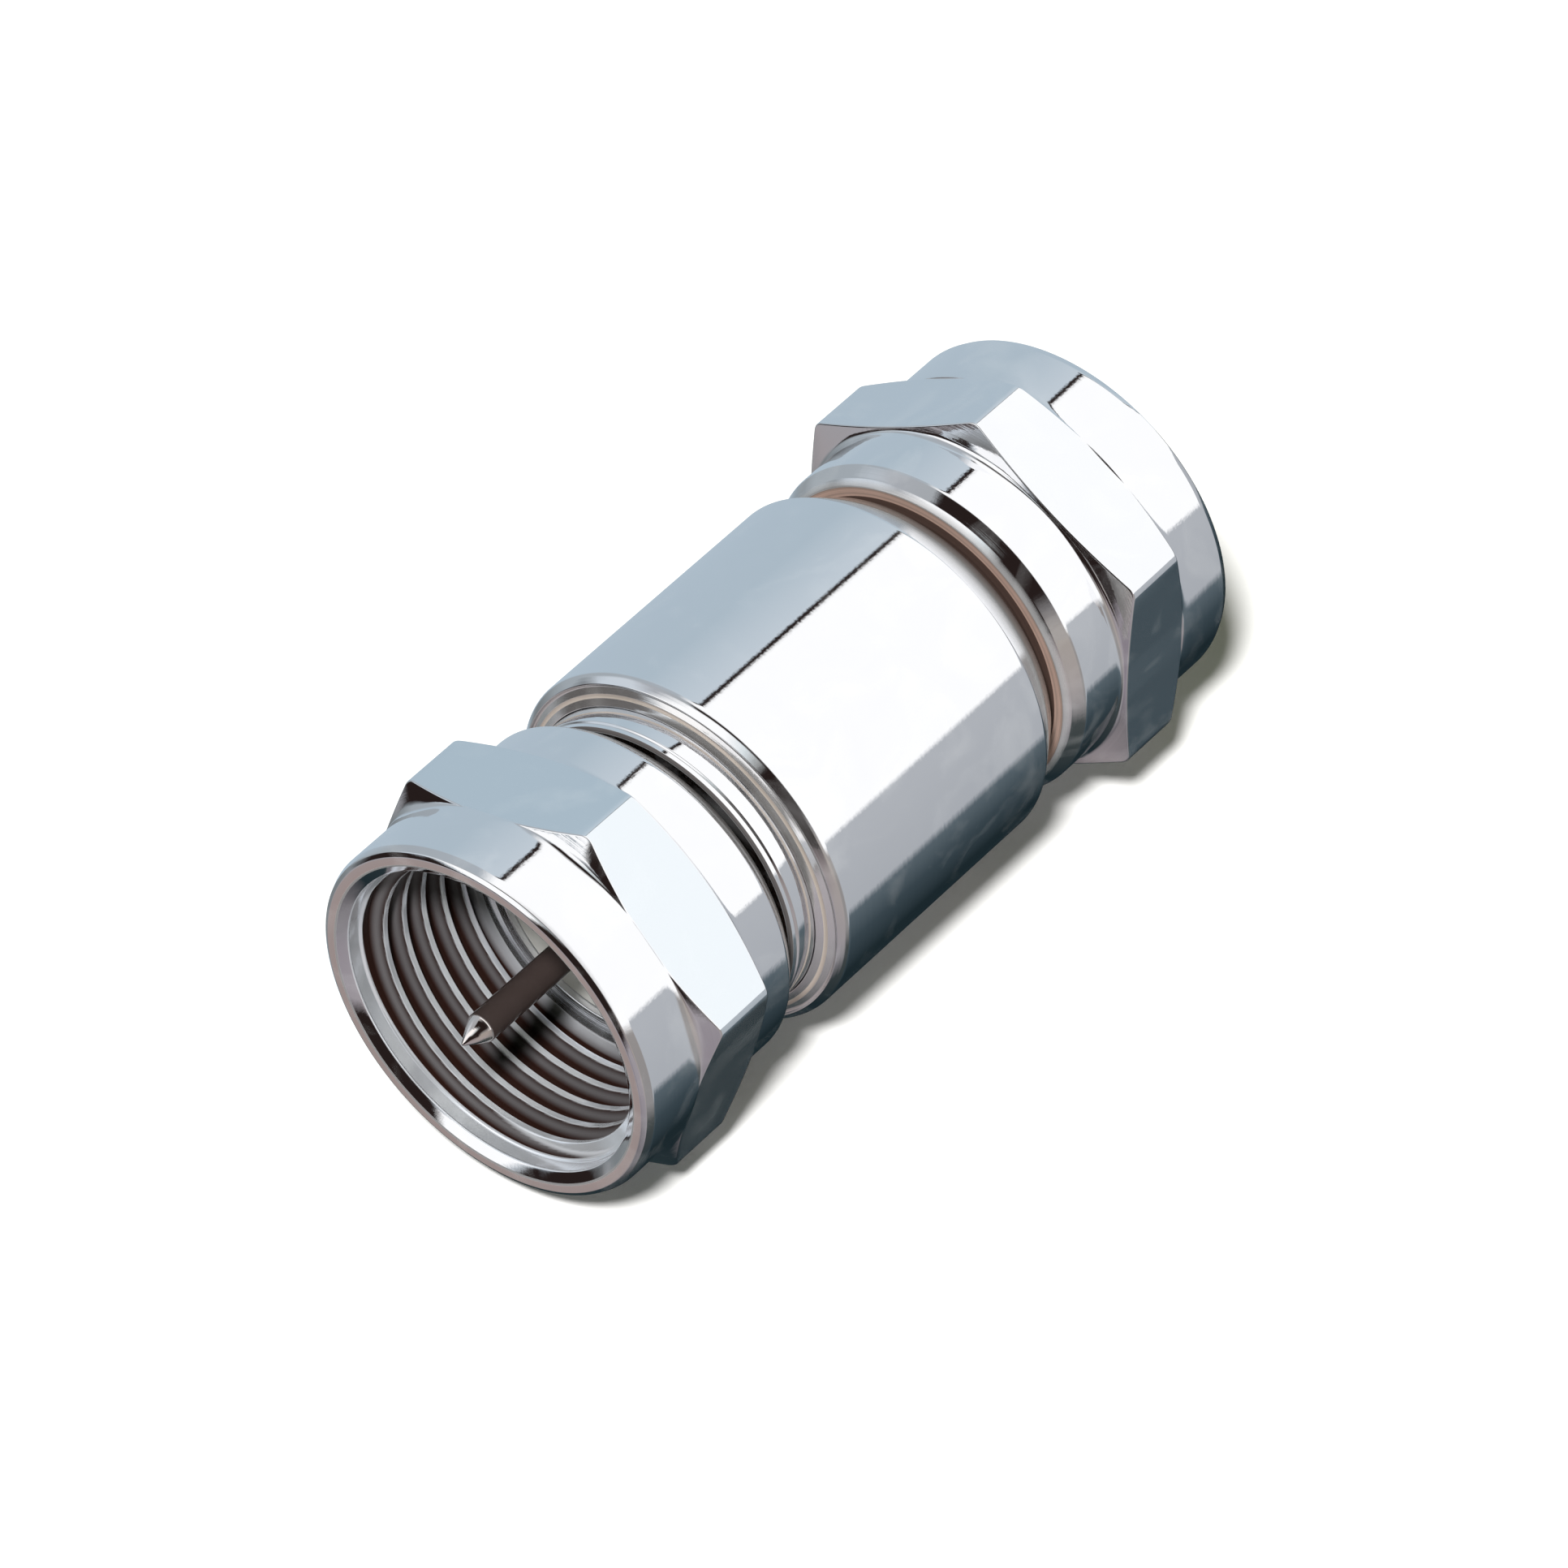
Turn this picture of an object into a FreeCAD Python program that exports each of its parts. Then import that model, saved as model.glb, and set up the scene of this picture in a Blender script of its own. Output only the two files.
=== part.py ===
import FreeCAD, Part
import os
import Sketcher

# Plug-to-plug coaxial coupler, lying with its axis along X. The origin is on
# the axis, midway between the two nut mouths. The front end points along -X.

SIZES = [
    ("flats_across", 11.11, "hexagon, flat to flat"),
    ("corner_factor", 1.1547, "corner radius over half the flats"),
    ("nut_length", 6.8, "rear face to mouth"),
    ("nut_gap", 0.45, "nut's rear face to the end of the middle part"),
    ("rear_bevel_length", 0.5, "bevel at the nut's rear, along the axis"),
    ("rear_bevel_height", 0.42, "bevel at the nut's rear, on the radius"),
    ("rear_collar_step", 0.155, "flats to the rear collar, on the radius"),
    ("rear_corner_x", 2.4, "rear corners of the hexagon, from the rear face"),
    ("corner_width", 1.89, "rear corners to front corners"),
    ("front_collar_over", 0.065, "front collar over the flats, on the radius"),
    ("corner_slope", 0.466, "length over height of the corner bevels"),
    ("corner_over", 0.25, "how far the bevels are turned past the corners"),
    ("cutter_width", 8.4, "width of the cut that makes a flat"),
    ("rim_bevel", 0.12, "outer bevel of the mouth"),
    ("rim_width", 0.58, "flat rim of the mouth"),
    ("mouth_bevel", 0.12, "inner bevel of the mouth, along the axis"),
    ("mouth_flare", 0.09, "inner bevel of the mouth, on the radius"),
    ("entry_depth", 0.62, "mouth to the end of the smooth entry"),
    ("thread_depth", 0.43, "smooth entry to the thread's crests, on the radius"),
    ("thread_lead_in", 0.3, "bevel from the smooth entry to the crests"),
    ("lip_thickness", 1.15, "inner lip at the rear of the nut"),
    ("spin_clearance", 0.06, "nut lip to ferrule, on the radius"),
    ("front_nut_turn", 15.0, "front nut, from a corner straight up, degrees"),
    ("rear_nut_turn", 0.0, "rear nut, from a corner straight up, degrees"),
    ("flange_clearance", 0.2, "flange to the thread's crests, on the radius"),
    ("flange_height", 0.8, "flange over its tail, on the radius"),
    ("flange_thickness", 0.85, "flange, back to face"),
    ("flange_gap", 0.05, "flange to the nut's inner lip"),
    ("tail_over", 0.5, "ferrule's tail past the barrel's inner wall"),
    ("ferrule_wall", 0.8, "wall of the ferrules"),
    ("recess_wall", 0.77, "wall of the flange around the recess"),
    ("recess_depth", 0.6, "flange face to the recess's bottom"),
    ("insulator_head", 0.4, "thickness of the insulator's head"),
    ("insulator_length", 5.2, "head face to the inner end"),
    ("pin_r", 0.45, "centre contact"),
    ("pin_reach", 0.85, "contact past the mouth"),
    ("pin_point", 0.75, "length of the conical point"),
    ("pin_blunt", 0.09, "blunt end of the point, over the contact's radius"),
    ("pin_shank", 0.25, "shank inside the insulators over the free end, on the radius"),
    ("pin_shank_bevel", 0.1, "bevel of the shank at the insulator's face"),
    ("pin_collar", 0.35, "thick middle over the shank, on the radius"),
    ("body_half", 5.6, "origin to either end of the middle part"),
    ("bush_wall", 1.0, "wall of the bush's tail around the ferrule"),
    ("barrel_wall", 1.23, "wall of the barrel"),
    ("barrel_rim_bevel", 0.22, "bevel of the barrel's front rim"),
    ("barrel_face_step", 0.12, "height of the step in the front face"),
    ("barrel_step_inset", 0.51, "barrel to the step in its front face, on the radius"),
    ("taper_length", 1.14, "rear taper of the barrel, along the axis"),
    ("taper_height", 0.71, "rear taper of the barrel, on the radius"),
    ("rear_wall", 2.1, "solid rear end of the barrel"),
    ("ring_show", 1.3, "barrel's front edge to the bush's front end"),
    ("bush_shoulder", 0.4, "ring of the bush over its tail, on the radius"),
    ("bush_bevel", 0.18, "bevel of the ring"),
    ("bush_tail_length", 3.1, "part of the bush inside the barrel"),
]


class Dim:
    """A size: its number, and the sheet expression that drives it."""

    def __init__(self, value, text):
        self.value = value
        self.text = text

    def __add__(self, other):
        return Dim(self.value + other.value, "({} + {})".format(self.text, other.text))

    def __sub__(self, other):
        return Dim(self.value - other.value, "({} - {})".format(self.text, other.text))

    def __mul__(self, other):
        return Dim(self.value * other.value, "({} * {})".format(self.text, other.text))

    def __neg__(self):
        return Dim(-self.value, "(-{})".format(self.text))

    def __truediv__(self, number):
        return Dim(self.value / number, "({} / {})".format(self.text, number))


doc = FreeCAD.newDocument("coupler")
sheet = doc.addObject("Spreadsheet::Sheet", "Sizes")
dims = {}
for row, (alias, value, note) in enumerate(SIZES, start=1):
    sheet.set("A{}".format(row), alias)
    sheet.set("B{}".format(row), str(value))
    sheet.set("C{}".format(row), note)
    sheet.setAlias("B{}".format(row), alias)
    dims[alias] = Dim(value, "Sizes." + alias)
doc.recompute()

ON_AXIS = Dim(0.0, "")


def origin_plane(body, role):
    """The body's own origin plane of the given role."""
    return next(item for item in body.Origin.OriginFeatures if item.Role == role)


def new_sketch(body, name, role):
    sketch = body.newObject("Sketcher::SketchObject", name)
    sketch.AttachmentSupport = [(origin_plane(body, role), "")]
    sketch.MapMode = "FlatFace"
    return sketch


def hold(sketch, kind, line, size):
    """Hold the start of a line at a distance that the sheet drives."""
    index = sketch.addConstraint(Sketcher.Constraint(kind, -1, 1, line, 1, size.value))
    sketch.setExpression("Constraints[{}]".format(index), size.text)


def closed_lines(sketch, places):
    """A closed run of straight lines through the given places."""
    count = len(places)
    for i in range(count):
        sketch.addGeometry(Part.LineSegment(places[i], places[(i + 1) % count]), False)
    for i in range(count):
        sketch.addConstraint(Sketcher.Constraint("Coincident", i, 2, (i + 1) % count, 1))


def turned(label, points):
    """A body turned about X from a half profile of (x, radius) points."""
    body = doc.addObject("PartDesign::Body", label)
    body.Label = label
    profile = new_sketch(body, label + "_profile", "XZ_Plane")
    closed_lines(profile, [FreeCAD.Vector(x.value, r.value, 0) for x, r in points])
    for i, (x, r) in enumerate(points):
        for kind, size, axis in (("DistanceX", x, -2), ("DistanceY", r, -1)):
            if size is ON_AXIS:
                profile.addConstraint(Sketcher.Constraint("PointOnObject", i, 1, axis))
            else:
                hold(profile, kind, i, size)
    turning = body.newObject("PartDesign::Revolution", label + "_turning")
    turning.Profile = profile
    turning.ReferenceAxis = (profile, ["H_Axis"])
    turning.Angle = 360.0
    profile.Visibility = False
    body.Tip = turning
    doc.recompute()
    return body


def put(body, x, half_turn=False, spin=None):
    """Put a body's zero at x on the axis; a half turn about Z points it along -X."""
    turn = FreeCAD.Rotation(FreeCAD.Vector(0, 0, 1), 180.0 if half_turn else 0.0)
    if spin is not None:
        turn = FreeCAD.Rotation(FreeCAD.Vector(1, 0, 0), spin.value).multiply(turn)
    body.Placement = FreeCAD.Placement(FreeCAD.Vector(x.value, 0, 0), turn)
    body.setExpression("Placement.Base.x", x.text)


def at_end(distance, front):
    """The place on the axis at this distance from the origin, front or rear."""
    return -distance if front else distance


d = dims
half_flats = d["flats_across"] / 2
corner_r = half_flats * d["corner_factor"]
rear_collar_r = half_flats - d["rear_collar_step"]
front_collar_r = half_flats + d["front_collar_over"]
mouth_r = front_collar_r - d["rim_bevel"] - d["rim_width"]
entry_r = mouth_r - d["mouth_flare"]
crest_r = entry_r - d["thread_depth"]
flange_r = crest_r - d["flange_clearance"]
ferrule_r = flange_r - d["flange_height"]
ferrule_bore_r = ferrule_r - d["ferrule_wall"]
recess_r = flange_r - d["recess_wall"]
shank_r = d["pin_r"] + d["pin_shank"]
barrel_bore_r = ferrule_r + d["bush_wall"]
barrel_r = barrel_bore_r + d["barrel_wall"]

nut_rear_x = d["body_half"] + d["nut_gap"]
flange_face_x = nut_rear_x + d["lip_thickness"] + d["flange_gap"] + d["flange_thickness"]
tail_end_x = d["body_half"] - d["rear_wall"] - d["tail_over"]
head_x = flange_face_x - d["recess_depth"] + d["insulator_head"]
collar_x = head_x - d["insulator_length"]
tip_x = nut_rear_x + d["nut_length"] + d["pin_reach"]


def coupling_nut(label, front, spin):
    """Hexagon nut with a collar on each side; zero is its rear face."""
    lip_r = ferrule_r + d["spin_clearance"]
    rear_run = (corner_r - rear_collar_r) * d["corner_slope"]
    front_run = (corner_r - front_collar_r) * d["corner_slope"]
    over_run = d["corner_over"] * d["corner_slope"]
    blank_r = corner_r + d["corner_over"]
    front_corner_x = d["rear_corner_x"] + d["corner_width"]
    mouth = d["nut_length"]
    entry_end = mouth - d["entry_depth"]
    body = turned(label, [
        (ON_AXIS, lip_r),
        (ON_AXIS, rear_collar_r - d["rear_bevel_height"]),
        (d["rear_bevel_length"], rear_collar_r),
        (d["rear_corner_x"] - rear_run, rear_collar_r),
        (d["rear_corner_x"] + over_run, blank_r),
        (front_corner_x - over_run, blank_r),
        (front_corner_x + front_run, front_collar_r),
        (mouth - d["rim_bevel"], front_collar_r),
        (mouth, front_collar_r - d["rim_bevel"]),
        (mouth, mouth_r),
        (mouth - d["mouth_bevel"], entry_r),
        (entry_end, entry_r),
        (entry_end - d["thread_lead_in"], crest_r),
        (d["lip_thickness"], crest_r),
        (d["lip_thickness"], lip_r),
    ])
    flat = new_sketch(body, label + "_flat", "YZ_Plane")
    near, far = half_flats, blank_r + d["corner_over"]
    half_width = d["cutter_width"] / 2
    corners = [(near, -1), (far, -1), (far, 1), (near, 1)]
    closed_lines(flat, [
        FreeCAD.Vector(y.value, side * half_width.value, 0) for y, side in corners
    ])
    flat.addConstraint(Sketcher.Constraint("Symmetric", 0, 1, 3, 1, -1))
    flat.addConstraint(Sketcher.Constraint("Symmetric", 1, 1, 2, 1, -1))
    flat.addConstraint(Sketcher.Constraint("Horizontal", 0))
    for kind, line, size in (
        ("DistanceX", 3, near), ("DistanceX", 2, far), ("DistanceY", 3, half_width)
    ):
        hold(flat, kind, line, size)
    cut = body.newObject("PartDesign::Pocket", label + "_flat_cut")
    cut.Profile = flat
    cut.Reversed = True
    cut.setExpression("Length", (front_corner_x + front_run).text)
    flat.Visibility = False
    body.Tip = cut
    doc.recompute()
    flats = body.newObject("PartDesign::PolarPattern", label + "_flats")
    flats.Originals = [cut]
    flats.Axis = (origin_plane(body, "X_Axis"), [""])
    flats.Angle = 360.0
    flats.Occurrences = 6
    body.Tip = flats
    doc.recompute()
    put(body, at_end(nut_rear_x, front), front, spin)
    return body


def ferrule(label, front):
    """Flanged sleeve that holds a nut; zero is the end of its tail."""
    face = flange_face_x - tail_end_x
    back = face - d["flange_thickness"]
    floor = face - d["recess_depth"]
    body = turned(label, [
        (ON_AXIS, ferrule_bore_r),
        (ON_AXIS, ferrule_r),
        (back, ferrule_r),
        (back, flange_r),
        (face, flange_r),
        (face, recess_r),
        (floor, recess_r),
        (floor, ferrule_bore_r),
    ])
    put(body, at_end(tail_end_x, front), front)
    return body


def insulator(label, front):
    """Headed plug that centres the contact; zero is its inner end."""
    face = d["insulator_length"]
    under_head = face - d["insulator_head"]
    body = turned(label, [
        (ON_AXIS, shank_r),
        (ON_AXIS, ferrule_bore_r),
        (under_head, ferrule_bore_r),
        (under_head, recess_r),
        (face, recess_r),
        (face, shank_r),
    ])
    put(body, at_end(collar_x, front), front)
    return body


# The barrel's zero is its rear end. It is turned round to point to the front.
front_edge_x = d["body_half"] + d["body_half"] - d["ring_show"]
face_x = front_edge_x + d["barrel_rim_bevel"]
seat_x = face_x + d["barrel_face_step"]
step_r = barrel_r - d["barrel_step_inset"]
barrel = turned("barrel_body", [
    (ON_AXIS, ferrule_r),
    (ON_AXIS, barrel_r - d["taper_height"]),
    (d["taper_length"], barrel_r),
    (front_edge_x, barrel_r),
    (face_x, barrel_r - d["barrel_rim_bevel"]),
    (face_x, step_r),
    (seat_x, step_r),
    (seat_x, barrel_bore_r),
    (d["rear_wall"], barrel_bore_r),
    (d["rear_wall"], ferrule_r),
])
put(barrel, d["body_half"], True)

# The closing bush is pressed into the barrel's open front end. Its zero is
# the inner end of its tail, and its ring sits on the barrel's stepped face.
ring_back = d["bush_tail_length"]
ring_front = ring_back + d["ring_show"] - d["barrel_rim_bevel"] - d["barrel_face_step"]
ring_r = barrel_bore_r + d["bush_shoulder"]
bush = turned("closing_bush", [
    (ON_AXIS, ferrule_r),
    (ON_AXIS, barrel_bore_r),
    (ring_back, barrel_bore_r),
    (ring_back, ring_r),
    (ring_front - d["bush_bevel"], ring_r),
    (ring_front, ring_r - d["bush_bevel"]),
    (ring_front, ferrule_r),
])
put(bush, ring_front - d["body_half"], True)

# The contact runs right through. Its zero is the front point. The shank fills
# the insulators' bores, and the collar is trapped between their inner ends.
point_r = d["pin_r"] * d["pin_blunt"]
shank_end_r = shank_r - d["pin_shank_bevel"]
collar_r = shank_r + d["pin_collar"]
pin_length = tip_x + tip_x
pin = turned("contact_pin", [
    (ON_AXIS, ON_AXIS),
    (ON_AXIS, point_r),
    (d["pin_point"], d["pin_r"]),
    (tip_x - head_x, d["pin_r"]),
    (tip_x - head_x, shank_end_r),
    (tip_x - head_x + d["pin_shank_bevel"], shank_r),
    (tip_x - collar_x, shank_r),
    (tip_x - collar_x, collar_r),
    (tip_x + collar_x, collar_r),
    (tip_x + collar_x, shank_r),
    (tip_x + head_x - d["pin_shank_bevel"], shank_r),
    (tip_x + head_x, shank_end_r),
    (tip_x + head_x, d["pin_r"]),
    (pin_length - d["pin_point"], d["pin_r"]),
    (pin_length, point_r),
    (pin_length, ON_AXIS),
])
put(pin, -tip_x)

parts = [
    barrel,
    bush,
    pin,
    ferrule("front_ferrule", True),
    ferrule("rear_ferrule", False),
    insulator("front_insulator", True),
    insulator("rear_insulator", False),
    coupling_nut("front_coupling_nut", True, d["front_nut_turn"]),
    coupling_nut("rear_coupling_nut", False, d["rear_nut_turn"]),
]
doc.recompute()

for item in doc.Objects:
    if "Invalid" in item.State or "Error" in item.State:
        raise RuntimeError("{} did not build: {}".format(item.Name, item.State))
os.makedirs("parts", exist_ok=True)
for body in parts:
    if body.Shape.isNull() or not body.Shape.isValid():
        raise RuntimeError(body.Label + " has no valid shape")
    body.Shape.exportStep("parts/{}.step".format(body.Label))
    box = body.Shape.BoundBox
    print(body.Label, "x {:.3f} {:.3f}".format(box.XMin, box.XMax), "volume {:.2f}".format(body.Shape.Volume))
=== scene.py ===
"""A plug-to-plug coaxial coupler in bright plating, lying with its axis along X.

Lengths are given in millimetres and put into the meshes in metres. A turned
piece is a half profile of (x, radius) points carried round the X axis.
"""

import bpy
import numpy as np
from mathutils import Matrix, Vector


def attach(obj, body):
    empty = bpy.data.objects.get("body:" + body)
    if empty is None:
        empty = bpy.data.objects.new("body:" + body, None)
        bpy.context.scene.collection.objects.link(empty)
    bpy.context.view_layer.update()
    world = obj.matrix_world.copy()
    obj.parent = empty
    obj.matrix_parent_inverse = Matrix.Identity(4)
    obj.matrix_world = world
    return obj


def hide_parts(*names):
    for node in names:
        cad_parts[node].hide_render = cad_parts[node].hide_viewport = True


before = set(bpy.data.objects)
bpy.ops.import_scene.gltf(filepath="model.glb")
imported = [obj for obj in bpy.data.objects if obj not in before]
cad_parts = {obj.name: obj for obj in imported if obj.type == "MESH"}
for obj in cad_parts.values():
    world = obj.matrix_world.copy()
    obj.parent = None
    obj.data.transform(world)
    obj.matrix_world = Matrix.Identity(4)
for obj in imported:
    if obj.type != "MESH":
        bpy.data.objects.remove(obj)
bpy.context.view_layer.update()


# ---- Barrel ----
# The plain tube in the middle, turned from brass bar and bright plated. The
# front face has a bevelled rim and a low step, and the rear end is tapered.
# The closing bush is pressed into its front end.

CORNER_STEPS = 5
CORNER_ROWS = CORNER_STEPS + 1


def eased(points, reach, closed=True):
    """A profile with every corner rounded.

    points is (corners, columns, 2). A corner becomes the quadratic curve
    (1-t)^2 A + 2t(1-t) P + t^2 B, where A and B lie on its two edges, `reach`
    away from the corner P, or 0.45 of the edge where that is shorter.
    """
    longest_share = 0.45
    before = np.roll(points, 1, axis=0) - points
    after = np.roll(points, -1, axis=0) - points
    reach = np.broadcast_to(np.asarray(reach, float).reshape(-1, 1, 1), points[..., :1].shape)

    def along(edge):
        length = np.linalg.norm(edge, axis=-1, keepdims=True)
        return points + edge / length * np.minimum(reach, longest_share * length)

    t = np.linspace(0, 1, CORNER_ROWS).reshape(1, -1, 1, 1)
    start, end = along(before)[:, None], along(after)[:, None]
    curve = (1 - t) ** 2 * start + 2 * t * (1 - t) * points[:, None] + t**2 * end
    if not closed:
        curve[0] = points[0]
        curve[-1] = points[-1]
    rows = curve.reshape(-1, points.shape[1], 2)
    if not closed:
        rows = rows[CORNER_STEPS:-CORNER_STEPS]
    return rows


MILLIMETRE = 0.001


def carried_round(name, rows, angles, half_turn=False, closed=True):
    """A surface over (row, angle): (x, r cos a, r sin a), in metres.

    rows is (rows, columns or 1, 2) in millimetres. A half turn about Z sends
    x and y to -x and -y. A closed profile joins its last row to its first,
    and an open one gets a flat cap at each end.
    """
    count, columns = len(rows), len(angles)
    x = np.broadcast_to(rows[..., 0], (count, columns))
    r = np.broadcast_to(rows[..., 1], (count, columns))
    side = -1 if half_turn else 1
    places = np.stack([side * x, side * r * np.cos(angles), r * np.sin(angles)], -1)
    i = np.arange(count if closed else count - 1)[:, None]
    j = np.arange(columns)[None, :]
    beside = (j + 1) % columns
    here, there = i * columns, (i + 1) % count * columns
    quads = np.stack([here + j, here + beside, there + beside, there + j], -1)
    faces = quads.reshape(-1, 4).tolist()
    if not closed:
        last_row = (count - 1) * columns
        faces += [list(range(columns))[::-1], list(range(last_row, last_row + columns))]
    mesh = bpy.data.meshes.new(name)
    mesh.from_pydata((places.reshape(-1, 3) * MILLIMETRE).tolist(), [], faces)
    mesh.shade_smooth()
    piece = bpy.data.objects.new(name, mesh)
    bpy.context.scene.collection.objects.link(piece)
    even = piece.modifiers.new("even shading", "WEIGHTED_NORMAL")
    even.mode = "FACE_AREA"
    return piece


def profile(*points):
    """Points of (x, radius) as an array with one column."""
    return np.array(points, float)[:, None, :]


def turn_about(columns):
    """Evenly spaced angles of one full turn."""
    return np.arange(columns) * 2 * np.pi / columns


def join(nodes, kind, inputs=(), **settings):
    """A new node of this kind, with its sockets set or linked."""
    node = nodes.new(kind)
    for key, value in settings.items():
        setattr(node, key, value)
    for socket, value in inputs:
        if isinstance(value, bpy.types.NodeSocket):
            nodes.id_data.links.new(value, node.inputs[socket])
        else:
            node.inputs[socket].default_value = value
    return node


def blend(nodes, share, first, second):
    """The first colour with this share of the second, as a mix node's output."""
    mix = join(nodes, "ShaderNodeMix", [("Factor", 0.5), ("A", first), ("B", second)],
               data_type="RGBA")
    nodes.id_data.links.new(share, mix.inputs["Factor"])
    return mix.outputs["Result"]


def ramped(nodes, value, low, high, bottom=0.0, top=1.0):
    """The value carried from low..high to bottom..top, and kept between these."""
    return join(nodes, "ShaderNodeMapRange", [
        ("Value", value), ("From Min", low), ("From Max", high),
        ("To Min", bottom), ("To Max", top),
    ]).outputs["Result"]


def bright_plating(name, colour, dull, roughness, marks, grain, brass=(0.56, 0.35, 0.27, 1)):
    """Plated metal with local finishes and a dark share that paints shade.

    The colour, the roughness and a thin haze are clouded. The turning marks
    are noise in x + distance from the axis alone, so they ring a barrel and a
    face alike. The point attribute holds four shares: red is a satin inside
    wall, green a dark brown that isn't metallic and is mostly painted shade in
    gaps and grooves, blue a bare turned face where the brass comes through in
    rings, and alpha a milled flat with a bluish haze.
    """
    milled_tone, satin_tone = (0.82, 0.87, 0.91, 1), (0.86, 0.89, 0.94, 1)
    groove_tone, darkening_tone = (0.22, 0.14, 0.10, 1), (0.019, 0.008, 0.006, 1)
    relief = 0.00001

    material = bpy.data.materials.new(name)
    material.use_nodes = True
    nodes = material.node_tree.nodes
    shader = nodes["Principled BSDF"]
    place = join(nodes, "ShaderNodeTexCoord").outputs["Object"]
    painted = join(nodes, "ShaderNodeAttribute", attribute_name="finish_and_shade").outputs
    finish_and_shade = join(nodes, "ShaderNodeSeparateColor", [("Color", painted["Color"])]).outputs
    satin, darkening, bare, milled = finish_and_shade["Red"], finish_and_shade["Green"], finish_and_shade["Blue"], painted["Alpha"]
    cloud = join(nodes, "ShaderNodeTexNoise", [
        ("Vector", place), ("Scale", 420.0), ("Detail", 4.0), ("Distortion", 1.5),
    ]).outputs["Fac"]
    specks = join(nodes, "ShaderNodeTexNoise", [
        ("Vector", place), ("Scale", 10500.0), ("Detail", 3.0),
    ]).outputs["Fac"]

    def reckon(operation, *terms):
        """The result of one operation on numbers or outputs."""
        sockets = list(enumerate(terms))
        return join(nodes, "ShaderNodeMath", sockets, operation=operation).outputs["Value"]

    def changed(value, *shares):
        """The value with share * change added for each (share, change)."""
        for share, change in shares:
            value = reckon("MULTIPLY_ADD", share, change, value)
        return value

    axes = join(nodes, "ShaderNodeSeparateXYZ", [("Vector", place)]).outputs
    across = join(nodes, "ShaderNodeCombineXYZ", [("Y", axes["Y"]), ("Z", axes["Z"])])
    radius = join(nodes, "ShaderNodeVectorMath", [("Vector", across.outputs["Vector"])],
                  operation="LENGTH")
    lines = join(nodes, "ShaderNodeTexNoise", [
        ("W", reckon("ADD", axes["X"], radius.outputs["Value"])),
        ("Scale", 6500.0), ("Detail", 2.0),
    ], noise_dimensions="1D").outputs["Fac"]

    ringed = ramped(nodes, lines, 0.28, 0.5)
    tone = blend(nodes, cloud, dull, colour)
    tone = blend(nodes, milled, tone, milled_tone)
    tone = blend(nodes, satin, tone, satin_tone)
    tone = blend(nodes, bare, tone, blend(nodes, ringed, groove_tone, brass))
    # The dark share paints shade into gaps, back faces and thread grooves.
    tone = blend(nodes, darkening, tone, darkening_tone)
    haze = ramped(nodes, cloud, 0.52, 0.72, 1.0, 0.93)
    metal = changed(haze, (satin, -0.3), (bare, -0.8), (darkening, -0.9), (milled, -0.06))
    shine = ramped(nodes, cloud, 0.3, 0.7, roughness, roughness * 1.8)
    rough = changed(shine, (satin, 0.09), (bare, 0.3))

    turned = join(nodes, "ShaderNodeBump", [
        ("Height", lines), ("Strength", marks), ("Distance", relief),
    ])
    bumped = join(nodes, "ShaderNodeBump", [
        ("Height", specks), ("Strength", grain), ("Distance", relief),
        ("Normal", turned.outputs["Normal"]),
    ])
    for socket, value in (
        ("Base Color", tone), ("Metallic", metal), ("Roughness", rough),
        ("Specular IOR Level", changed(0.5, (darkening, -0.42))), ("Normal", bumped.outputs["Normal"]),
    ):
        material.node_tree.links.new(value, shader.inputs[socket])
    return material


def give_finish_and_shade(piece, shape, satin=0, darkening=0, bare=0, milled=0):
    """Store the four shares of finish and painted shade for every (row, column) point."""
    shares = np.zeros((*shape, 4), np.float32)
    for channel, share in enumerate((satin, darkening, bare, milled)):
        shares[..., channel] = share
    finish_and_shade = piece.data.attributes.new("finish_and_shade", "FLOAT_COLOR", "POINT")
    finish_and_shade.data.foreach_set("color", shares.ravel())


body_plating = bright_plating(
    "bright_plating", colour=(0.94, 0.945, 0.96, 1), dull=(0.90, 0.905, 0.925, 1),
    roughness=0.028, marks=0.12, grain=0.05, brass=(0.56, 0.45, 0.35, 1),
)
body_columns = 192

# The profile starts at the rear end and is then turned to point forwards.
rear_x, rear_r = 5.6, 4.92
barrel_rows = eased(profile(
    (0.0, 3.4), (0.0, rear_r), (1.14, 5.63), (9.9, 5.63), (10.12, 5.41),
    (10.12, 5.38), (10.07, 5.36), (10.07, 5.31), (10.18, 5.13), (10.19, 5.04),
    (10.32, 4.82), (10.24, 4.8), (10.24, 4.4), (2.1, 4.4), (2.1, 3.4),
) * (-1, 1) + (rear_x, 0), (0.03, 0.06, 0.05, 0.1) + (0.03,) * 11)[::-1]
barrel = carried_round("barrel", barrel_rows, turn_about(body_columns))

# The rear edge is painted dark brown, a painted shade at the gap to the rear
# nut. The front face is lightly worn, and on one line the brass shows through.
barrel_x, barrel_r = barrel_rows[..., 0], barrel_rows[..., 1]
rear_edge = np.hypot(barrel_x - rear_x, barrel_r - rear_r) < 0.062
on_face = (barrel_x < -4.4) & (barrel_r < 5.4)
tan_line = np.abs(barrel_r - 5.08) < 0.06
give_finish_and_shade(barrel, (len(barrel_rows), body_columns), darkening=0.95 * rear_edge,
            bare=on_face * np.where(tan_line, 0.75, 0.14))
barrel.data.materials.append(body_plating)
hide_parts("barrel_body")
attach(barrel, "coupler_body")


# ---- Closing bush ----
# A turned ring that closes the barrel's front end. Its tail is pressed into
# the barrel, and its ring sits on the barrel's stepped face.

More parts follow.
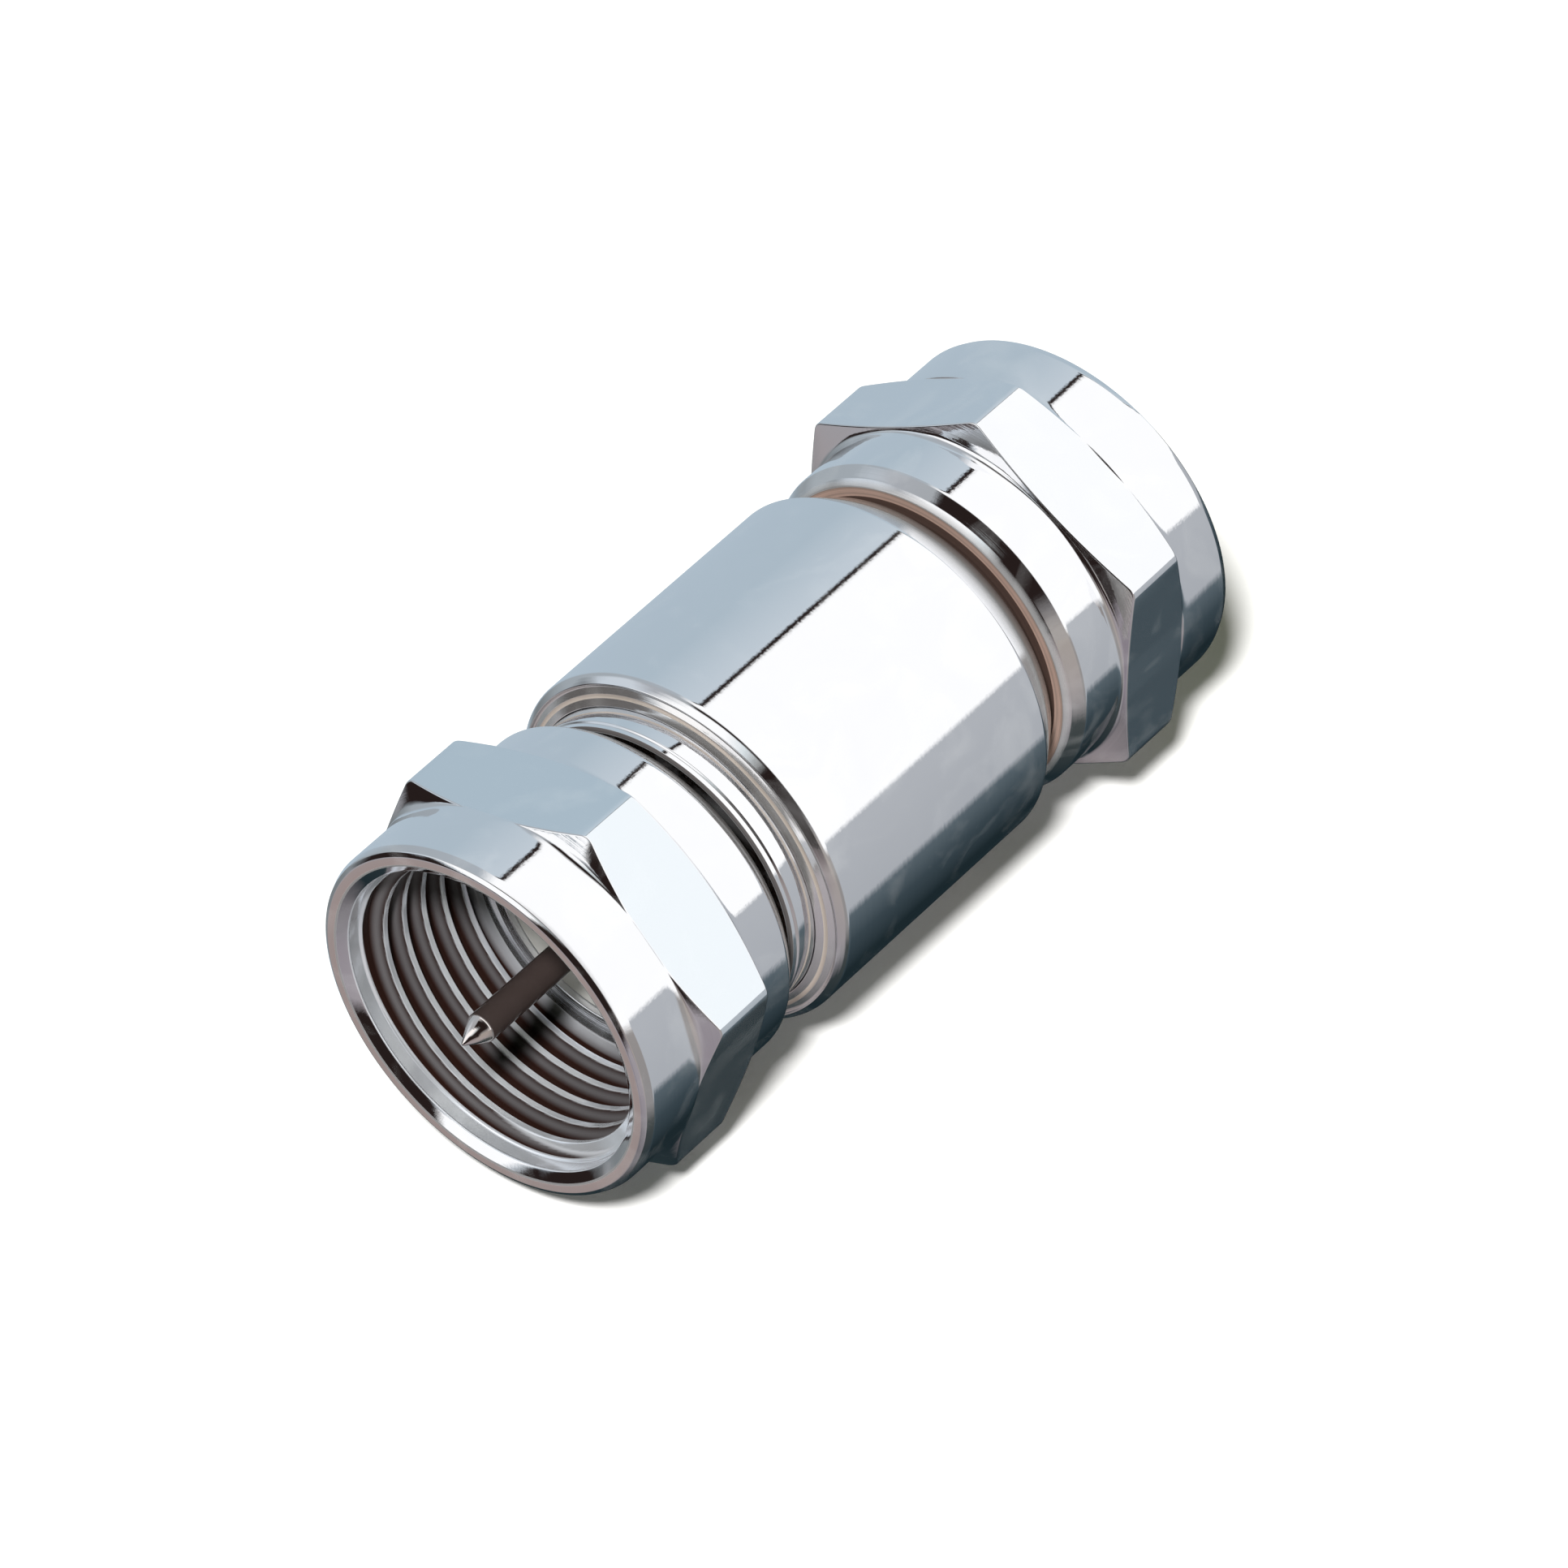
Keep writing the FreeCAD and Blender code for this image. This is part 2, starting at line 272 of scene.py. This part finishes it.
bush_rows = eased(profile(
    (-1.54, 3.4), (-5.6, 3.4), (-5.6, 4.3), (-5.6, 4.58), (-5.6, 4.66), (-5.55, 4.73),
    (-5.42, 4.74), (-5.37, 4.8), (-4.64, 4.8), (-4.64, 4.4), (-1.54, 4.4),
), 0.02)[::-1]
bush_x, bush_r = bush_rows[..., 0], bush_rows[..., 1]
bush = carried_round("closing_ring", bush_rows, turn_about(body_columns))

# Painted shade darkens the front face, which lies in the gap behind the front
# nut, but for one ring left bright.
bright_ring = (bush_r >= 4.29) & (bush_r <= 4.6)
give_finish_and_shade(bush, (len(bush_rows), body_columns), darkening=0.9 * ((bush_x < -5.54) & ~bright_ring))
bush.data.materials.append(body_plating)
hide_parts("closing_bush")
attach(bush, "coupler_body")


# ---- Ferrules ----
# A flanged sleeve in each end, turned from the same bar. The flange keeps the
# nut on and is the stop for the jack, and the tail is pressed into the body.

ferrule_plating = bright_plating(
    "ferrule_plating", colour=(0.90, 0.91, 0.94, 1), dull=(0.82, 0.83, 0.86, 1),
    roughness=0.1, marks=0.5, grain=0.1,
)
ferrule_columns = 128
for end, half_turn in (("front", True), ("rear", False)):
    ferrule_rows = eased(profile(
        (3.0, 2.6), (3.0, 3.4), (7.25, 3.4), (7.25, 4.2), (8.1, 4.2),
        (8.1, 3.43), (7.5, 3.43), (7.5, 2.6),
    ), 0.05)
    ferrule = carried_round(end + "_flange", ferrule_rows, turn_about(ferrule_columns), half_turn)
    give_finish_and_shade(ferrule, (len(ferrule_rows), ferrule_columns), satin=0.3)
    ferrule.data.materials.append(ferrule_plating)
    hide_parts(end + "_ferrule")
    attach(ferrule, "coupler_body")


# ---- Insulators ----
# A moulded plug of off-white plastic in each ferrule, with a flat head. It
# holds the contact in the middle and is pressed in from the end.

plastic = bpy.data.materials.new("insulator_plastic")
plastic.use_nodes = True
parts = plastic.node_tree.nodes
moulded = parts["Principled BSDF"].inputs
skin = join(parts, "ShaderNodeTexNoise", [
    ("Vector", join(parts, "ShaderNodeTexCoord").outputs["Object"]),
    ("Scale", 2600.0), ("Detail", 4.0),
]).outputs["Fac"]
shade = blend(parts, skin, (0.72, 0.70, 0.66, 1), (0.80, 0.79, 0.76, 1))
soft = join(parts, "ShaderNodeBump", [("Height", skin), ("Strength", 0.3), ("Distance", 0.00002)])
plastic.node_tree.links.new(shade, moulded["Base Color"])
plastic.node_tree.links.new(soft.outputs["Normal"], moulded["Normal"])
moulded["Roughness"].default_value = 0.45

plug_columns = 96
for end, half_turn in (("front", True), ("rear", False)):
    plug = carried_round(end + "_plug", eased(profile(
        (2.7, 0.7), (2.7, 2.6), (7.5, 2.6), (7.5, 3.43), (7.9, 3.43), (7.9, 0.7),
    ), 0.08), turn_about(plug_columns), half_turn)
    plug.data.materials.append(plastic)
    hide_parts(end + "_insulator")
    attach(plug, "coupler_body")


# ---- Contact ----
# One turned and plated brass pin right through, with a ground point at each
# end. Its thick middle is trapped between the insulators, and the free ends
# are dark brown behind the ground points.

contact_plating = bright_plating(
    "contact_plating", colour=(0.95, 0.90, 0.88, 1), dull=(0.88, 0.82, 0.79, 1),
    roughness=0.05, marks=0.15, grain=0.05,
)
contact_columns = 64
contact_rows = eased(profile(
    (-13.7, 0.04), (-12.95, 0.45), (-7.9, 0.45), (-7.9, 0.6), (-7.8, 0.7),
    (-2.7, 0.7), (-2.7, 1.05), (2.7, 1.05), (2.7, 0.7),
    (7.8, 0.7), (7.9, 0.6), (7.9, 0.45), (12.95, 0.45), (13.7, 0.04),
), 0.04, closed=False)
contact = carried_round("contact", contact_rows, turn_about(contact_columns), closed=False)
behind_points = np.abs(contact_rows[..., 0]) < 12.94
give_finish_and_shade(contact, (len(contact_rows), contact_columns), darkening=0.97 * behind_points)
contact.data.materials.append(contact_plating)
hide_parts("contact_pin")
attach(contact, "coupler_body")


# ---- Coupling nuts ----
# A hexagon nut on each end, turned and milled from brass and bright plated.
# A collar is on each side of the flats, the corners are bevelled on the lathe,
# and a right-hand 3/8-32 thread is cut inside, behind a smooth entry.

half_flats, corner_r, collar_r, back_r, lip_r = 5.555, 6.351, 5.62, 5.4, 3.46
pitch, crest_r, entry_r = 0.79375, 4.4, 4.83
flats_start, flats_end, nut_start = 2.37, 4.32, 6.05
bevel_slope = 0.466


def hexagon_radius(angle, corner):
    """Distance from the axis to a hexagon with rounded corners, at an angle.

    A flat is half_flats / cos(angle from its middle). Within the rounding it
    is the arc c cos(d) + sqrt(ease^2 - c^2 sin(d)^2), where d is the angle
    from the corner and c the distance of the arc's centre.
    """
    ease = 0.41
    centre = (half_flats - ease) / np.cos(np.pi / 6)
    away = np.mod(angle - corner + np.pi / 6, np.pi / 3) - np.pi / 6
    flat = half_flats / np.cos(np.pi / 6 - np.abs(away))
    arc = centre * np.cos(away) + np.sqrt(np.maximum(ease**2 - (centre * np.sin(away)) ** 2, 0))
    tangent = np.arctan2(ease / 2, centre + ease * np.cos(np.pi / 6))
    return np.where(np.abs(away) < tangent, arc, flat)


def threaded_wall(x, angle):
    """Radius of the inside wall at (x, angle), and its shares of painted
    shade and of a painted highlight.

    The thread is a wave in x/pitch - angle/turn, flat at its crests and
    rounded at its roots. It fades out towards the lip, and the lead-in and
    the smooth entry cut into it from the mouth. The painted shade fills all
    but the crests and thins out where the lead-in begins. The painted
    highlight is a bump at the middle of the side that faces the mouth, a
    lighter line in each groove.
    """
    half_crest, flank, thread_depth = 0.18, 0.5, 0.37
    fade_start, fade_length = 1.5, 0.6
    entry_x, rise, run = 6.18, 0.43, 0.3
    highlight_middle, highlight_width = 0.72, 0.06

    turns = np.mod(x / pitch - angle / (2 * np.pi), 1)
    cut = np.clip((np.abs(2 * turns - 1) - half_crest) / flank, 0, 1)
    fading = np.clip((x - fade_start) / fade_length, 0, 1)
    depth = thread_depth * cut * cut * (3 - 2 * cut) * fading
    lead_in = entry_r - (entry_x - x) * rise / run
    inner = np.clip((crest_r + depth - lead_in) / 0.08, 0, 1) * np.clip((6.14 - x) / 0.06, 0, 1)
    groove_shade = np.clip(cut * 8, 0, 1) * fading * inner
    groove_highlight = np.exp(-((turns - highlight_middle) / highlight_width) ** 2) * groove_shade
    return np.minimum(np.maximum(crest_r + depth, lead_in), entry_r), groove_shade, groove_highlight


nut_plating = bright_plating(
    "nut_plating", colour=(0.94, 0.945, 0.96, 1), dull=(0.90, 0.905, 0.925, 1),
    roughness=0.028, marks=0.12, grain=0.07,
)
near_corner = np.array([-1.9, -1.3, -0.65, 0, 0.65, 1.3, 1.9])
over_flat = np.linspace(3.4, 56.6, 26)
sixth = np.concatenate([near_corner, over_flat])
# The last column is the share of painted shade on the back end, in the gap beside the closing
# ring.
for end, half_turn, corner, wear, back_slope, back_shade in (
    ("front", True, 15.0, 1, bevel_slope, 0.9),
    ("rear", False, 30.0, 0.2, 0.26, 0),
):
    angles = np.radians(corner + np.concatenate([sixth + 60 * k for k in range(6)]))
    hexagon = hexagon_radius(angles, np.radians(corner))
    bevel_end = np.minimum(flats_end + (corner_r - hexagon) * bevel_slope, 4.65)

    # Each corner of the profile is x, radius and the reach of its rounding.
    before_wall = (
        (0.0, lip_r, 0.06), (0.0, 4.66, 0.05), (0.0, 4.98, 0.04),
        (0.17, 5.15, 0.02), (0.2, 5.17, 0.02), (0.5, back_r, 0.06),
        (flats_start - (corner_r - back_r) * back_slope, back_r, 0.2),
        (flats_start - (corner_r - hexagon) * back_slope, hexagon, 0.05),
        (bevel_end, hexagon, 0.05),
        (flats_end + (corner_r - collar_r) * bevel_slope, collar_r, 0.3),
        (6.5, collar_r, 0.04), (6.72, 5.53, 0.03), (6.8, 5.4, 0.03), (6.8, 5.13, 0.04),
        (6.63, 4.87, 0.05), (6.6, entry_r, 0.05),
    )
    after_wall = ((1.15, crest_r, 0.05), (1.15, lip_r, 0.05))
    around = np.ones_like(angles)
    corners = np.stack([
        np.stack([x * around, r * around], -1) for x, r, reach in before_wall + after_wall
    ])
    outside = eased(corners, [reach for x, r, reach in before_wall + after_wall])

    wall_x = np.linspace(6.58, 1.3, 264)[:, None]
    wall_r, groove_shade, groove_highlight = threaded_wall(wall_x, angles[None, :])
    inside = np.stack([np.broadcast_to(wall_x, wall_r.shape), wall_r], -1)
    mouth_row = len(before_wall) * CORNER_ROWS
    rows = np.concatenate([outside[:mouth_row], inside, outside[mouth_row:]])
    nut = carried_round(end + "_nut", rows + (nut_start, 0), angles, half_turn)

    # The inside is satin. Painted shade fills the thread grooves, lightened by a
    # painted highlight line in each, and a dark line runs round the mouth's inside
    # edge. Painted shade covers the front nut's back end, and the inner part and
    # outer edge of each back face at the gap to its neighbour; on the rear nut's
    # back face it leaves a ring of bare brass.
    row_x, row_r = rows[..., 0], rows[..., 1]
    satin, darkening, bare, milled = np.zeros((4, *rows.shape[:2]))
    satin[mouth_row - CORNER_ROWS:-CORNER_ROWS] = 1
    darkening[mouth_row:mouth_row + len(inside)] = groove_shade - 0.1 * groove_highlight
    darkening[(row_x > 6.76) & (np.abs(row_r - 5.13) < 0.03)] = 0.7
    darkening[(row_x < 0.45) & (row_r > 4.4)] = back_shade
    darkening[(row_x < 0.02) & (row_r < 4.68)] = 0.9
    darkening[(row_x < 0.04) & (row_r > 4.95)] = max(back_shade, 0.5)
    bare[(row_x < 0.01) & (row_r < 4.96)] = 0.9
    milled[np.isclose(row_r, hexagon)] = wear
    give_finish_and_shade(nut, rows.shape[:2], satin, darkening, bare, milled)
    nut.data.materials.append(nut_plating)
    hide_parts(end + "_coupling_nut")
    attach(nut, end + "_nut")


# ---- Table, light and camera ----
# A plain white table, one soft lamp up beside the camera, and a white studio
# round it. Polished metal sees the studio's grey and dark sides.

azimuth, elevation, distance = np.radians(-51.632), np.radians(44.599), 273.88
frame_pixels, focal_pixels, sensor = 1932, 12391.39, 36.0
backward = Vector((
    np.sin(azimuth) * np.cos(elevation), -np.cos(azimuth) * np.cos(elevation), np.sin(elevation),
))
right = (-backward).cross(Vector((0, 0, 1))).normalized()
upward = right.cross(-backward)
middle = Vector((-0.21, 0, 0))
eye = (middle + backward * distance) * MILLIMETRE
aim = (middle + right * 0.1514 - upward * 0.541) * MILLIMETRE
camera = bpy.data.objects.new("camera", bpy.data.cameras.new("camera"))
camera.data.sensor_width = sensor
camera.data.lens = sensor * focal_pixels / frame_pixels
camera.data.clip_start = 0.01
camera.data.clip_end = 10.0
camera.location = eye
camera.rotation_mode = "QUATERNION"
camera.rotation_quaternion = (aim - eye).to_track_quat("-Z", "Y")
bpy.context.scene.collection.objects.link(camera)
bpy.context.scene.camera = camera

lamp_distance = 1.5
lamp_data = bpy.data.lights.new("soft_lamp", "AREA")
lamp_data.shape = "DISK"
lamp_data.size = 0.2
lamp_data.energy = 31.0
lamp = bpy.data.objects.new("soft_lamp", lamp_data)
lamp_way = (backward - right * 0.1 + upward * 0.16).normalized()
lamp.location = lamp_way * lamp_distance
lamp.rotation_mode = "QUATERNION"
lamp.rotation_quaternion = lamp_way.to_track_quat("Z", "Y")
lamp.visible_glossy = False
bpy.context.scene.collection.objects.link(lamp)

table_half, table_z = 1.5, -0.00636
table_mesh = bpy.data.meshes.new("table")
table_mesh.from_pydata([
    (-table_half, -table_half, table_z), (table_half, -table_half, table_z),
    (table_half, table_half, table_z), (-table_half, table_half, table_z),
], [], [(0, 1, 2, 3)])
table = bpy.data.objects.new("table", table_mesh)
bpy.context.scene.collection.objects.link(table)
table.visible_glossy = False

# The table is whiter for the camera than for the light it sends back, and
# from below it is clear.
white = bpy.data.materials.new("white_table")
white.use_nodes = True
cloth = white.node_tree.nodes
cloth.remove(cloth["Principled BSDF"])
looking = join(cloth, "ShaderNodeLightPath").outputs["Is Camera Ray"]
whiter = blend(cloth, looking, (0.8, 0.8, 0.8, 1), (1.04, 1.03, 1.012, 1))
paper = join(cloth, "ShaderNodeBsdfDiffuse", [("Color", whiter)])
under = join(cloth, "ShaderNodeNewGeometry")
clear = join(cloth, "ShaderNodeBsdfTransparent")
one_sided = join(cloth, "ShaderNodeMixShader", [
    (0, under.outputs["Backfacing"]), (1, paper.outputs["BSDF"]), (2, clear.outputs["BSDF"]),
])
white.node_tree.links.new(one_sided.outputs["Shader"], cloth["Material Output"].inputs["Surface"])
table_mesh.materials.append(white)


def bands(nodes, turn, stops):
    """A colour for each angle round the X axis, in degrees from +Y towards +Z."""
    ramp = join(nodes, "ShaderNodeValToRGB", [("Fac", turn)])
    ramp.color_ramp.interpolation = "LINEAR"
    elements = ramp.color_ramp.elements
    while len(elements) > 1:
        elements.remove(elements[-1])
    for index, (angle, colour) in enumerate(sorted(stops)):
        spot = elements[0] if index == 0 else elements.new(angle / 360 + 0.5)
        spot.position = angle / 360 + 0.5
        spot.color = (*colour, 1)
    return ramp.outputs["Color"]


world = bpy.data.worlds.new("studio")
bpy.context.scene.world = world
world.use_nodes = True
sky = world.node_tree.nodes
sky.clear()
way = join(sky, "ShaderNodeSeparateXYZ", [
    ("Vector", join(sky, "ShaderNodeTexCoord").outputs["Generated"]),
]).outputs
bearing = join(sky, "ShaderNodeMath", [(0, way["Z"]), (1, way["Y"])], operation="ARCTAN2")
turn = join(sky, "ShaderNodeMath", [
    (0, bearing.outputs["Value"]), (1, 1 / (2 * np.pi)), (2, 0.5),
], operation="MULTIPLY_ADD").outputs["Value"]

# The studio is six rings round the X axis, from straight ahead in +X to the
# pole in -X. A ring is a list of (angle in degrees, colour).
DARK, BROWN, GREY = (0.012, 0.022, 0.027), (0.02, 0.013, 0.012), (0.46, 0.48, 0.51)
BLUE, BRIGHT, STEEL = (0.44, 0.53, 0.61), (1.07, 1.07, 1.07), (0.50, 0.54, 0.58)
SLATE, DUSK, TAUPE = (0.42, 0.44, 0.47), (0.20, 0.22, 0.23), (0.31, 0.29, 0.28)
rings = [
    ((-180, GREY), (-142, SLATE), (-137, (0.10, 0.13, 0.15)), (-118, (0.042, 0.062, 0.075)),
     (-90, DARK), (-60, DARK), (-56, BLUE), (30, (0.44, 0.53, 0.60)), (66.6, (0.57, 0.64, 0.70)),
     (67.2, BROWN), (69.8, BROWN), (70.4, BRIGHT), (172.6, BRIGHT), (173.4, GREY)),
    ((-180, TAUPE), (-142, (0.28, 0.27, 0.27)), (-130, (0.06, 0.07, 0.07)), (-90, DARK),
     (-60, (0.03, 0.045, 0.05)), (-50, DUSK), (-30, DUSK), (-12, (0.36, 0.40, 0.43)),
     (60, (0.42, 0.46, 0.50)), (70, BRIGHT), (170, BRIGHT), (176, TAUPE)),
    ((-180, (0.38, 0.34, 0.31)), (-150, (0.38, 0.34, 0.33)), (-115, (0.31, 0.29, 0.31)),
     (-92, (0.14, 0.13, 0.14)), (-80, (0.26, 0.23, 0.24)), (-58, (0.34, 0.275, 0.26)),
     (-28, (0.36, 0.35, 0.37)), (-25, BROWN), (-3, BROWN), (6, (0.60, 0.66, 0.72)),
     (24, (0.62, 0.67, 0.72)), (36, SLATE), (63, (0.40, 0.42, 0.44)), (68, BROWN), (150, BROWN),
     (160, (0.20, 0.19, 0.19)), (172, (0.36, 0.33, 0.31))),
    ((-180, (0.09, 0.07, 0.07)), (-164, (0.30, 0.26, 0.26)), (-135, (0.36, 0.33, 0.35)),
     (-95, (0.25, 0.22, 0.25)), (-70, (0.33, 0.30, 0.32)), (-27, (0.40, 0.38, 0.40)),
     (-22, BROWN), (4, BROWN), (8, STEEL), (12, BRIGHT), (84, BRIGHT),
     (100, (0.72, 0.78, 0.80)), (112, (0.35, 0.36, 0.36)), (120, BROWN), (176, BROWN)),
    ((-180, BROWN), (4, BROWN), (8, STEEL), (12, BRIGHT), (60, BRIGHT), (75, SLATE),
     (95, BROWN), (180, BROWN)),
    ((-180, BROWN), (180, BROWN)),
]
ahead, abreast, nearer, behind, last, pole = [bands(sky, turn, stops) for stops in rings]

# A ring takes over from the one before it between two values of the x of the
# mirrored direction.
studio = ahead
for ring, start, stop in (
    (abreast, 0.35, 0.15), (nearer, -0.2, -0.4), (behind, -0.6, -0.7), (last, -0.86, -0.9),
    (pole, -0.972, -0.984),
):
    studio = blend(sky, ramped(sky, way["X"], start, stop), studio, ring)

seen = join(sky, "ShaderNodeLightPath").outputs
mirrored, room, backdrop = [
    join(sky, "ShaderNodeBackground", [("Color", tint), ("Strength", strength)]).outputs[0]
    for tint, strength in ((studio, 1.0), ((1, 1.07, 0.78, 1), 0.11), ((1, 1, 1, 1), 1.0))
]
in_metal = join(sky, "ShaderNodeMixShader", [(0, seen["Is Glossy Ray"]), (1, room), (2, mirrored)])
in_view = join(sky, "ShaderNodeMixShader", [
    (0, seen["Is Camera Ray"]), (1, in_metal.outputs["Shader"]), (2, backdrop),
])
join(sky, "ShaderNodeOutputWorld", [("Surface", in_view.outputs["Shader"])])

bpy.context.scene.view_settings.view_transform = "Standard"
